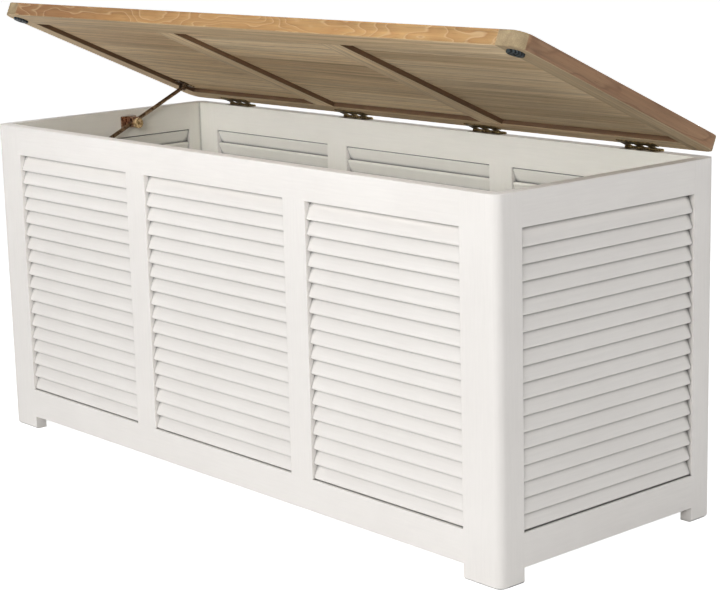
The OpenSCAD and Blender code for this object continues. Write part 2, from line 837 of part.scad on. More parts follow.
// A knurled head on a shank, dished and slotted across its face
module stay_clamp_knob() {
    metal() difference() {
        union() {
            knob_bar(rod_x + rod_r + rod_gap / 2, knob_x0 + 1, knob_shank_r);
            knob_bar(cheek_x1 + 0.3, knob_x0 + 1, knob_r - 3);
            knob_bar(knob_x0, knob_x1 - 1, knob_r);
            translate([knob_x1 - 1, knob_y, knob_z]) rotate([0, 90, 0])
                cylinder(h = 1, r1 = knob_r, r2 = knob_r - 1);
        }
        knob_bar(knob_x1 - 0.7, knob_x1 + over, knob_r - 2.2);
        block([knob_x1 - 2, knob_y - knob_r, knob_z - 0.7],
              [knob_x1 + over, knob_y + knob_r, knob_z + 0.7]);
        for (i = [0 : knob_ridges - 1])
            translate([knob_x0 - over, knob_y, knob_z]) rotate([i * 360 / knob_ridges, 0, 0])
                translate([0, knob_r + 0.35, 0]) rotate([0, 90, 0])
                    cylinder(h = knob_l + 2 * over, r = 1, $fn = 24);
    }
}

// ---- every piece by its name ----

front_left_stile();
to_right() front_left_stile();  // front_right_stile
to_back() front_left_stile();  // back_left_stile
to_right() to_back() front_left_stile();  // back_right_stile
left_front_stile();
to_back() left_front_stile();  // left_rear_stile
to_right() left_front_stile();  // right_front_stile
to_right() to_back() left_front_stile();  // right_rear_stile
front_rail(1);  // front_top_rail
front_rail(0);  // front_bottom_rail
back_top_rail();
to_back() front_rail(0);  // back_bottom_rail
left_top_rail();
left_rail(0);  // left_bottom_rail
to_right() left_rail(1);  // right_top_rail
to_right() left_rail(0);  // right_bottom_rail
front_left_mullion();
to_right() front_left_mullion();  // front_right_mullion
to_back() front_left_mullion();  // back_left_mullion
to_right() to_back() front_left_mullion();  // back_right_mullion
outer_louvres();  // front_left_louvres
middle_louvres();  // front_middle_louvres
to_right() outer_louvres();  // front_right_louvres
to_back() outer_louvres();  // back_left_louvres
to_back() middle_louvres();  // back_middle_louvres
to_right() to_back() outer_louvres();  // back_right_louvres
side_louvres();  // left_louvres
to_right() side_louvres();  // right_louvres
floor_cleats();
floor_boards();
lid_front_rail();
lid_rear_rail();
lid_left_stile();
lid_right_stile();
opened() cross_rail();  // lid_left_cross_rail
to_right() opened() cross_rail();  // lid_right_cross_rail
lid_left_panel();
opened() panel(-cross_in, cross_in);  // lid_middle_panel
opened() panel(cross_out, lid_inner_x);  // lid_right_panel
lid_bumpers();
opened() at_bumper_screws() screw(bumper_screw_l);  // bumper_screws
hinge_box_leaves();
hinge_lid_leaves();
hinge_pins();
at_hinge_box_screws() screw(screw_l);  // hinge_box_screws
opened() at_hinge_lid_screws() screw(screw_l);  // hinge_lid_screws
stay_lid_bracket();
opened() at_bracket_screws() screw(bracket_screw_l);  // stay_bracket_screws
stay_pivot_pin();
stay_rod();
stay_stop_nut();
stay_guide();
at_guide_screws() screw(screw_l);  // stay_guide_screws
stay_clamp_knob();
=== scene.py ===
import bpy, bmesh, json, math
from mathutils import Matrix, Vector
from mathutils.bvhtree import BVHTree


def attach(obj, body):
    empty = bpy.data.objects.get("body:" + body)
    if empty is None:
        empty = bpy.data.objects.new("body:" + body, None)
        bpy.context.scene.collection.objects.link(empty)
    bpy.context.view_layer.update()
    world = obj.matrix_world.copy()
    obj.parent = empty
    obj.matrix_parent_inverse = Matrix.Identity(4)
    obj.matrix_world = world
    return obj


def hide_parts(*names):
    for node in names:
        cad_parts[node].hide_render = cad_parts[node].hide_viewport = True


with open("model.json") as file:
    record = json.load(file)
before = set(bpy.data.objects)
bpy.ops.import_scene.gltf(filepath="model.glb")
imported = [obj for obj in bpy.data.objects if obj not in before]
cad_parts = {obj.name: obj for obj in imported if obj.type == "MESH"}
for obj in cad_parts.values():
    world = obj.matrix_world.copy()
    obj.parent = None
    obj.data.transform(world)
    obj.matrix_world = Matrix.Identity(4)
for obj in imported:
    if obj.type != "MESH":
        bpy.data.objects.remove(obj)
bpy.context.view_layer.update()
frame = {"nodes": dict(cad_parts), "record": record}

# ---- Camera ----
# It stands in front of the right-hand corner, a little above the open lid's height,
# and is turned slightly so that the chest's uprights lean to the left.
cam_at = Vector((2.2966, -1.9441, 0.9216))
cam_az, cam_el, cam_roll = math.radians(48.70), math.radians(12.08), math.radians(-1.47)
ahead = Vector((
    -math.sin(cam_az) * math.cos(cam_el),
    math.cos(cam_az) * math.cos(cam_el),
    -math.sin(cam_el)))
level = Vector((math.cos(cam_az), math.sin(cam_az), 0))
upward = level.cross(ahead)
cam_x = level * math.cos(cam_roll) + upward * math.sin(cam_roll)
cam_y = upward * math.cos(cam_roll) - level * math.sin(cam_roll)
camera = bpy.data.objects.new("camera", bpy.data.cameras.new("camera"))
bpy.context.collection.objects.link(camera)
camera.matrix_world = Matrix((
    (cam_x.x, cam_y.x, -ahead.x, cam_at.x),
    (cam_x.y, cam_y.y, -ahead.y, cam_at.y),
    (cam_x.z, cam_y.z, -ahead.z, cam_at.z),
    (0, 0, 0, 1)))
camera.data.sensor_width = 36
camera.data.lens = 96.74
camera.data.clip_start, camera.data.clip_end = 0.05, 50
bpy.context.scene.camera = camera

# ---- Chest frames ----
# Painted softwood stiles, rails and mullions, mortised and tenoned. The joints are filled
# and painted over, so only the arrises that stay free are eased with sandpaper.
frame_members = [
    "front_left_stile", "front_right_stile", "back_left_stile", "back_right_stile",
    "left_front_stile", "left_rear_stile", "right_front_stile", "right_rear_stile",
    "front_top_rail", "front_bottom_rail", "back_top_rail", "back_bottom_rail",
    "left_top_rail", "left_bottom_rail", "right_top_rail", "right_bottom_rail",
    "front_left_mullion", "front_right_mullion", "back_left_mullion", "back_right_mullion"]
louvre_nodes = [
    "front_left_louvres", "front_middle_louvres", "front_right_louvres",
    "back_left_louvres", "back_middle_louvres", "back_right_louvres", "left_louvres", "right_louvres"]


def merged_copy(node, turn_back):
    """A bmesh of a CAD node's shape with its triangles merged, turned back to the closed position."""
    bm = bmesh.new()
    bm.from_mesh(frame["nodes"][node].data)
    bm.transform(turn_back)
    bmesh.ops.remove_doubles(bm, verts=bm.verts, dist=1e-6)
    bmesh.ops.dissolve_limit(bm, angle_limit=math.radians(0.5), verts=bm.verts, edges=bm.edges)
    return bm


def skins(nodes, turn_back):
    """For each node, its surface for nearest-point tests and its box."""
    out = {}
    for n in nodes:
        bm = merged_copy(n, turn_back)
        bmesh.ops.triangulate(bm, faces=bm.faces)
        lo = Vector([min(v.co[k] for v in bm.verts) for k in range(3)])
        hi = Vector([max(v.co[k] for v in bm.verts) for k in range(3)])
        out[n] = (BVHTree.FromBMesh(bm), lo, hi)
        bm.free()
    return out


def finished(name, bm, materials, body, nodes, crease=38, end_facet=0.0):
    """Turns a bmesh into a shown piece that rides on its body and stands for its CAD nodes.
    Edges that turn by more than crease degrees stay sharp, and so do those of the triangles
    smaller than end_facet, in square metres, that close the ends of an eased arris."""
    mesh = bpy.data.meshes.new(name)
    for f in bm.faces:
        f.smooth = True
    bm.to_mesh(mesh)
    bm.free()
    mesh.set_sharp_from_angle(angle=math.radians(crease))
    for face in mesh.polygons:
        if len(face.vertices) == 3 and face.area < end_facet:
            for corner in face.loop_indices:
                mesh.edges[mesh.loops[corner].edge_index].use_edge_sharp = True
    for m in materials:
        mesh.materials.append(m)
    piece = bpy.data.objects.new(name, mesh)
    bpy.context.collection.objects.link(piece)
    even = piece.modifiers.new("even shading", "WEIGHTED_NORMAL")
    even.keep_sharp = True
    even.weight = 100
    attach(piece, body)
    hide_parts(*nodes)
    return piece


def neighbours(node, lo, hi, pieces):
    """The pieces whose boxes come within half a millimetre of the node's own."""
    slack = 0.0005
    return [n for n in pieces if n != node
            and all(pieces[n][1][k] < hi[k] + slack and pieces[n][2][k] > lo[k] - slack for k in range(3))]


def eased(node, arris, members, others, turn_back):
    """A member whose free arrises are eased: cut where its neighbours start and end, then bevelled
    wherever no neighbour lies against the arris."""
    end_margin = 0.002
    least_turn = math.radians(40)
    least_length = 0.0004
    contact = 0.0012
    bm = merged_copy(node, turn_back)
    lo, hi = members[node][1], members[node][2]
    near = neighbours(node, lo, hi, members)
    for n in near:
        for k in range(3):
            for at in (members[n][1][k], members[n][2][k]):
                if lo[k] + end_margin < at < hi[k] - end_margin:
                    normal = Vector((k == 0, k == 1, k == 2))
                    bmesh.ops.bisect_plane(bm, geom=bm.verts[:] + bm.edges[:] + bm.faces[:],
                                           plane_co=normal * at, plane_no=normal, dist=1e-6)
    touching = [members[n][0] for n in near] + [others[n][0] for n in neighbours(node, lo, hi, others)]
    free = []
    for e in bm.edges:
        if len(e.link_faces) != 2 or not e.is_convex:
            continue
        if e.calc_face_angle(0) < least_turn or e.calc_length() < least_length:
            continue
        mid = (e.verts[0].co + e.verts[1].co) / 2
        if all(skin.find_nearest(mid, contact)[0] is None for skin in touching):
            free.append(e)
    bmesh.ops.bevel(bm, geom=free, offset=arris, offset_type="OFFSET", segments=2, profile=0.5,
                    affect="EDGES", clamp_overlap=True, material=-1)
    bmesh.ops.dissolve_degenerate(bm, dist=2e-6, edges=bm.edges)
    bm.transform(turn_back.inverted())
    return bm


def socket_group(name, sockets):
    """An empty shader node group with its sockets, and its node maker, link maker and two ends."""
    group = bpy.data.node_groups.new(name, "ShaderNodeTree")
    for label, kind, way in sockets:
        group.interface.new_socket(name=label, in_out=way, socket_type="NodeSocket" + kind)
    nodes = group.nodes
    return group, nodes.new, group.links.new, nodes.new("NodeGroupInput"), nodes.new("NodeGroupOutput")


# How far a place lies on an arris, which the materials lighten for rubbed wear and, on the stay's bracket,
# as a painted highlight: where a rounded normal leaves the flat one, in patches.
edge_wear_and_glint, new, link, given, result = socket_group(
    "edge_wear_and_glint", (("Width", "Float", "INPUT"), ("Edge", "Float", "OUTPUT")))
rounded = new("ShaderNodeBevel")
rounded.samples = 6
link(given.outputs["Width"], rounded.inputs["Radius"])
flat = new("ShaderNodeNewGeometry")
agreement = new("ShaderNodeVectorMath")
agreement.operation = "DOT_PRODUCT"
link(rounded.outputs["Normal"], agreement.inputs[0])
link(flat.outputs["Normal"], agreement.inputs[1])
turned = new("ShaderNodeMapRange")
turned.inputs["From Min"].default_value = 0.995
turned.inputs["From Max"].default_value = 0.86
link(agreement.outputs["Value"], turned.inputs["Value"])
patchy = new("ShaderNodeTexNoise")
patchy.inputs["Scale"].default_value = 45
patchy.inputs["Detail"].default_value = 4
patchy_where = new("ShaderNodeTexCoord")
link(patchy_where.outputs["Object"], patchy.inputs["Vector"])
uneven = new("ShaderNodeMapRange")
uneven.inputs["From Min"].default_value = 0.35
uneven.inputs["From Max"].default_value = 0.62
link(patchy.outputs["Fac"], uneven.inputs["Value"])
rubbed = new("ShaderNodeMath")
rubbed.operation = "MULTIPLY"
link(turned.outputs["Result"], rubbed.inputs[0])
link(uneven.outputs["Result"], rubbed.inputs[1])
link(rubbed.outputs[0], result.inputs["Edge"])

# The marks of the brush: fine strokes along the member, clouds of thicker paint, and their relief.
brush_marks, new, link, given, result = socket_group(
    "brush_marks", (("Place", "Vector", "INPUT"), ("Along", "Vector", "INPUT"),
                    ("Strokes", "Float", "OUTPUT"), ("Clouds", "Float", "OUTPUT"),
                    ("Relief", "Float", "OUTPUT")))
bristles = new("ShaderNodeTexNoise")
bristles.inputs["Scale"].default_value = 300
bristles.inputs["Detail"].default_value = 5
bristles.inputs["Roughness"].default_value = 0.6
link(given.outputs["Along"], bristles.inputs["Vector"])
clouds = new("ShaderNodeTexNoise")
clouds.inputs["Scale"].default_value = 11
clouds.inputs["Detail"].default_value = 6
link(given.outputs["Place"], clouds.inputs["Vector"])
drags = new("ShaderNodeTexNoise")
drags.inputs["Scale"].default_value = 90
drags.inputs["Detail"].default_value = 3
link(given.outputs["Along"], drags.inputs["Vector"])
height = new("ShaderNodeMath")
height.operation = "MULTIPLY_ADD"
height.inputs[1].default_value = 1.6
link(drags.outputs["Fac"], height.inputs[0])
link(bristles.outputs["Fac"], height.inputs[2])
link(bristles.outputs["Fac"], result.inputs["Strokes"])
link(clouds.outputs["Fac"], result.inputs["Clouds"])
link(height.outputs[0], result.inputs["Relief"])

# Painted shade in narrow gaps: how much of the paint's brightness is left, going from the
# openness at which this painted shade is darkest to the one at which a place has none.
painted_gap_shade, new, link, given, result = socket_group(
    "painted_gap_shade", (("Darkest", "Float", "INPUT"), ("Unshaded", "Float", "INPUT"), ("Left", "Float", "OUTPUT")))
nook = new("ShaderNodeAmbientOcclusion")
nook.samples = 8
nook.inputs["Distance"].default_value = 0.010
gap_shading = new("ShaderNodeMapRange")
gap_shading.inputs["To Min"].default_value = 0.10
link(nook.outputs["AO"], gap_shading.inputs["Value"])
link(given.outputs["Darkest"], gap_shading.inputs["From Min"])
link(given.outputs["Unshaded"], gap_shading.inputs["From Max"])
link(gap_shading.outputs["Result"], result.inputs["Left"])


def new_material(name):
    """A node material, with its node maker, its link maker and its shader."""
    m = bpy.data.materials.new(name)
    m.use_nodes = True
    return m, m.node_tree.nodes.new, m.node_tree.links.new, m.node_tree.nodes["Principled BSDF"]


def brushed_paint(name, along, thick=(0.872, 0.842, 0.808), thin_coat=(0.852, 0.820, 0.786),
                  shade_span=(0.25, 0.72)):
    """White satin paint laid on with a brush along the member: 0 is X, 1 is Y, 2 is Z.
    It is a little thicker and whiter in clouds, thin and creamy on the arrises, and darkened
    with painted shade in the narrow gaps. The last argument says how open a place is where
    that painted shade is darkest and where there is none."""
    m, new, link, bsdf = new_material(name)
    where = new("ShaderNodeTexCoord")
    stretch = new("ShaderNodeMapping")
    stretch.inputs["Scale"].default_value = [0.05 if k == along else 1.0 for k in range(3)]
    link(where.outputs["Object"], stretch.inputs["Vector"])
    marks = new("ShaderNodeGroup")
    marks.node_tree = brush_marks
    link(where.outputs["Object"], marks.inputs["Place"])
    link(stretch.outputs["Vector"], marks.inputs["Along"])
    shade = new("ShaderNodeValToRGB")
    shade.color_ramp.elements[0].position = 0.34
    shade.color_ramp.elements[0].color = (*thin_coat, 1)
    shade.color_ramp.elements[1].position = 0.66
    shade.color_ramp.elements[1].color = (*thick, 1)
    link(marks.outputs["Clouds"], shade.inputs["Fac"])
    thin = new("ShaderNodeMapRange")
    thin.inputs["From Min"].default_value = 0.3
    thin.inputs["From Max"].default_value = 0.7
    thin.inputs["To Min"].default_value = 0.94
    thin.inputs["To Max"].default_value = 1.02
    link(marks.outputs["Strokes"], thin.inputs["Value"])
    streak = new("ShaderNodeMix")
    streak.data_type, streak.blend_type = "RGBA", "MULTIPLY"
    streak.inputs["Factor"].default_value = 0.5
    link(shade.outputs["Color"], streak.inputs["A"])
    link(thin.outputs["Result"], streak.inputs["B"])
    # Painted shade: the colour is darkened where the gaps are narrow.
    gap_shading = new("ShaderNodeGroup")
    gap_shading.node_tree = painted_gap_shade
    gap_shading.inputs["Darkest"].default_value, gap_shading.inputs["Unshaded"].default_value = shade_span
    gaps = new("ShaderNodeMix")
    gaps.data_type, gaps.blend_type = "RGBA", "MULTIPLY"
    gaps.inputs["Factor"].default_value = 1.0
    link(streak.outputs["Result"], gaps.inputs["A"])
    link(gap_shading.outputs["Left"], gaps.inputs["B"])
    arris = new("ShaderNodeGroup")
    arris.node_tree = edge_wear_and_glint
    arris.inputs["Width"].default_value = 0.0012
    bare = new("ShaderNodeMath")
    bare.operation = "MULTIPLY"
    bare.inputs[1].default_value = 0.10
    link(arris.outputs["Edge"], bare.inputs[0])
    worn = new("ShaderNodeMix")
    worn.data_type = "RGBA"
    worn.inputs["B"].default_value = (0.74, 0.69, 0.60, 1)
    link(bare.outputs[0], worn.inputs["Factor"])
    link(gaps.outputs["Result"], worn.inputs["A"])
    link(worn.outputs["Result"], bsdf.inputs["Base Color"])
    sheen = new("ShaderNodeMapRange")
    sheen.inputs["To Min"].default_value = 0.36
    sheen.inputs["To Max"].default_value = 0.60
    link(marks.outputs["Strokes"], sheen.inputs["Value"])
    link(sheen.outputs["Result"], bsdf.inputs["Roughness"])
    bsdf.inputs["Specular IOR Level"].default_value = 0.35
    relief = new("ShaderNodeBump")
    relief.inputs["Strength"].default_value = 0.16
    relief.inputs["Distance"].default_value = 0.0006
    link(marks.outputs["Relief"], relief.inputs["Height"])
    link(relief.outputs["Normal"], bsdf.inputs["Normal"])
    return m


# The front and back members get fainter painted shade in their gaps than the chest's ends do.
faint_gap_shade = (0.10, 0.46)
paint_x = brushed_paint("white_paint_along_rails", 0, shade_span=faint_gap_shade)
paint_y = brushed_paint("white_paint_along_side_rails", 1)
paint_z = brushed_paint("white_paint_along_stiles", 2, shade_span=faint_gap_shade)
side_paint_z = brushed_paint("white_paint_along_side_stiles", 2)
# Faces inside the chest get a brighter, creamier copy of the paint: painted light standing in for warm
# light bounced into the chest from the lid.
bounce_lit_coat = ((0.935, 0.925, 0.862), (0.910, 0.900, 0.836))
bounce_lit_x = brushed_paint("bounce_lit_inside_paint_along_rails", 0, *bounce_lit_coat)
bounce_lit_y = brushed_paint("bounce_lit_inside_paint_along_side_rails", 1, *bounce_lit_coat)
bounce_lit_z = brushed_paint("bounce_lit_inside_paint_along_stiles", 2, *bounce_lit_coat)
inward = {"front": Vector((0, 1, 0)), "back": Vector((0, -1, 0)),
          "left": Vector((1, 0, 0)), "right": Vector((-1, 0, 0))}


def inner_faces(node, bm):
    """Marks the faces that look into the chest, which carry the brighter, creamier copy of the paint that
    is painted bounce light.
    """
    faces_in = 0.6
    side = node.split("_")[0]
    bm.normal_update()
    for f in bm.faces:
        if f.normal.dot(inward[side]) > faces_in:
            f.material_index = 1
    return bm


as_drawn = Matrix()
arris_end = 1.2e-6
member_skins = skins(frame_members, as_drawn)
louvre_skins = skins(louvre_nodes, as_drawn)
for node in frame_members:
    long_side = node.startswith(("front", "back"))
    if node.endswith("rail"):
        coats = [paint_x, bounce_lit_x] if long_side else [paint_y, bounce_lit_y]
    else:
        coats = [paint_z if long_side else side_paint_z, bounce_lit_z]
    bm = inner_faces(node, eased(node, 0.0010, member_skins, louvre_skins, as_drawn))
    finished("painted_" + node, bm, coats, "box", [node], end_facet=arris_end)

# ---- Louvres ----
# Thin slats with rounded edges, their ends housed in the stiles and mullions. They carry
# the same paint as the frame, with more painted shade under each slat's lip, most on the chest's ends.
slat_x = brushed_paint("white_paint_along_slats", 0)
slat_y = brushed_paint("white_paint_along_side_slats", 1, shade_span=(0.30, 0.80))
for node in louvre_nodes:
    coats = [slat_y, bounce_lit_y] if node in ("left_louvres", "right_louvres") else [slat_x, bounce_lit_x]
    bm = inner_faces(node, merged_copy(node, as_drawn))
    finished("painted_" + node, bm, coats, "box", [node], crease=50)

# ---- Floor of the chest ----
# Two cleats along the bottom rails carry twelve loose boards laid across with gaps,
# all painted like the inside, in its brighter, creamier copy of the paint that is painted bounce light.
square_turn = 1.0
for node, coat in (("floor_cleats", bounce_lit_x), ("floor_boards", bounce_lit_y)):
    bm = merged_copy(node, as_drawn)
    arrises = [e for e in bm.edges if len(e.link_faces) == 2 and e.calc_face_angle(0) > square_turn]
    bmesh.ops.bevel(bm, geom=arrises, offset=0.0012, offset_type="OFFSET", segments=2, profile=0.5,
                    affect="EDGES", clamp_overlap=True, material=-1)
    finished("painted_" + node, bm, [coat], "box", [node])

# ---- Lid frame and panels ----
# Teak stiles, rails and cross rails with tongued boards between them, flush on top and
# recessed below. Oil has gone from the underside, which is duller than the sawn edges.
# It is drawn open, so each member is turned back about the hinge pins to be worked on.
lid_hinge = next(j for j in frame["record"]["behaviour"]["joints"] if j["name"] == "lid_hinge")
opened = math.radians(-lid_hinge["range_deg"][0])
hinge_at = Vector(lid_hinge["pos_m"])
close_lid = Matrix.Translation(hinge_at) @ Matrix.Rotation(opened, 4, "X") @ Matrix.Translation(-hinge_at)
lid_members = ["lid_front_rail", "lid_rear_rail", "lid_left_stile", "lid_right_stile",
               "lid_left_cross_rail", "lid_right_cross_rail"]
lid_panels = ["lid_left_panel", "lid_middle_panel", "lid_right_panel"]
lid_skins = skins(lid_members, close_lid)
panel_skins = skins(lid_panels, close_lid)
lid_end_x = lid_skins["lid_right_stile"][2].x
lid_front_y = lid_skins["lid_front_rail"][1].y
lid_rear_y = lid_skins["lid_rear_rail"][2].y
boards_front_y = lid_skins["lid_front_rail"][2].y
boards_rear_y = lid_skins["lid_rear_rail"][1].y
boards_in_panel = 9
board_depth = (boards_rear_y - boards_front_y) / boards_in_panel

# The figure of teak: growth rings round a leaning heart, wandering and curling along the grain,
# with late-wood lines, streaked fibres, short open pores and slow changes of tone.
teak_figure, new, link, given, result = socket_group(
    "teak_figure", (("Vector", "Vector", "INPUT"), ("Seed", "Float", "INPUT"), ("Rings", "Float", "INPUT"),
                    ("Wobble", "Float", "INPUT"), ("Curl", "Float", "INPUT"), ("Lines", "Float", "OUTPUT"),
                    ("Figure", "Float", "OUTPUT"), ("Streaks", "Float", "OUTPUT"),
                    ("Pores", "Float", "OUTPUT"), ("Tone", "Float", "OUTPUT")))
seed_step = new("ShaderNodeVectorMath")
seed_step.operation = "SCALE"
seed_step.inputs[0].default_value = (0.731, 0.337, 0.219)
link(given.outputs["Seed"], seed_step.inputs["Scale"])
moved = new("ShaderNodeVectorMath")
moved.operation = "ADD"
link(given.outputs["Vector"], moved.inputs[0])
link(seed_step.outputs["Vector"], moved.inputs[1])


def grain_noise(per_metre, detail, roughness=0.5):
    """Noise with so many features to the metre along X, Y and Z of the seeded place."""
    scaled = new("ShaderNodeVectorMath")
    scaled.operation = "MULTIPLY"
    scaled.inputs[1].default_value = per_metre
    link(moved.outputs["Vector"], scaled.inputs[0])
    noise = new("ShaderNodeTexNoise")
    noise.inputs["Scale"].default_value = 1.0
    noise.inputs["Detail"].default_value = detail
    noise.inputs["Roughness"].default_value = roughness
    link(scaled.outputs["Vector"], noise.inputs["Vector"])
    return noise.outputs["Fac"]


def sum_of(a, b):
    """The sum of two sockets."""
    total = new("ShaderNodeMath")
    link(a, total.inputs[0])
    link(b, total.inputs[1])
    return total.outputs[0]


heart = new("ShaderNodeMapping")
heart.inputs["Rotation"].default_value = (0.35, math.radians(4.0), math.radians(5.0))
link(moved.outputs["Vector"], heart.inputs["Vector"])
apart = new("ShaderNodeSeparateXYZ")
link(heart.outputs["Vector"], apart.inputs["Vector"])
across = new("ShaderNodeCombineXYZ")
link(apart.outputs["Y"], across.inputs["Y"])
link(apart.outputs["Z"], across.inputs["Z"])
radius = new("ShaderNodeVectorMath")
radius.operation = "LENGTH"
link(across.outputs["Vector"], radius.inputs[0])
bend = grain_noise((1.6, 9.0, 9.0), 3)
wander = new("ShaderNodeMath")
wander.operation = "MULTIPLY"
link(bend, wander.inputs[0])
link(given.outputs["Wobble"], wander.inputs[1])
swirl = new("ShaderNodeMath")
swirl.operation = "MULTIPLY"
link(grain_noise((6.5, 30.0, 30.0), 2), swirl.inputs[0])
link(given.outputs["Curl"], swirl.inputs[1])
bent = sum_of(sum_of(radius.outputs["Value"], wander.outputs[0]), swirl.outputs[0])
turns = new("ShaderNodeMath")
turns.operation = "MULTIPLY"
link(bent, turns.inputs[0])
link(given.outputs["Rings"], turns.inputs[1])
saw = new("ShaderNodeMath")
saw.operation = "FRACT"
link(turns.outputs[0], saw.inputs[0])
ring = new("ShaderNodeValToRGB")
ring.color_ramp.interpolation = "EASE"
ring.color_ramp.elements[0].color = (0.15, 0.15, 0.15, 1)
ring.color_ramp.elements[1].color = (0.15, 0.15, 0.15, 1)
ring.color_ramp.elements.new(0.55).color = (0.55, 0.55, 0.55, 1)
ring.color_ramp.elements.new(0.86).color = (1, 1, 1, 1)
link(saw.outputs[0], ring.inputs["Fac"])
link(ring.outputs["Color"], result.inputs["Figure"])
late_line = new("ShaderNodeValToRGB")
late_line.color_ramp.interpolation = "EASE"
late_line.color_ramp.elements[0].color = (0, 0, 0, 1)
late_line.color_ramp.elements[1].color = (0, 0, 0, 1)
late_line.color_ramp.elements.new(0.74).color = (0, 0, 0, 1)
late_line.color_ramp.elements.new(0.87).color = (1, 1, 1, 1)
link(saw.outputs[0], late_line.inputs["Fac"])
link(late_line.outputs["Color"], result.inputs["Lines"])
link(grain_noise((2.5, 150.0, 150.0), 5, 0.6), result.inputs["Streaks"])
dash = new("ShaderNodeMapRange")
dash.inputs["From Min"].default_value = 0.60
dash.inputs["From Max"].default_value = 0.70
link(grain_noise((45.0, 900.0, 900.0), 2), dash.inputs["Value"])
link(dash.outputs["Result"], result.inputs["Pores"])
link(grain_noise((1.2, 6.0, 6.0), 3), result.inputs["Tone"])


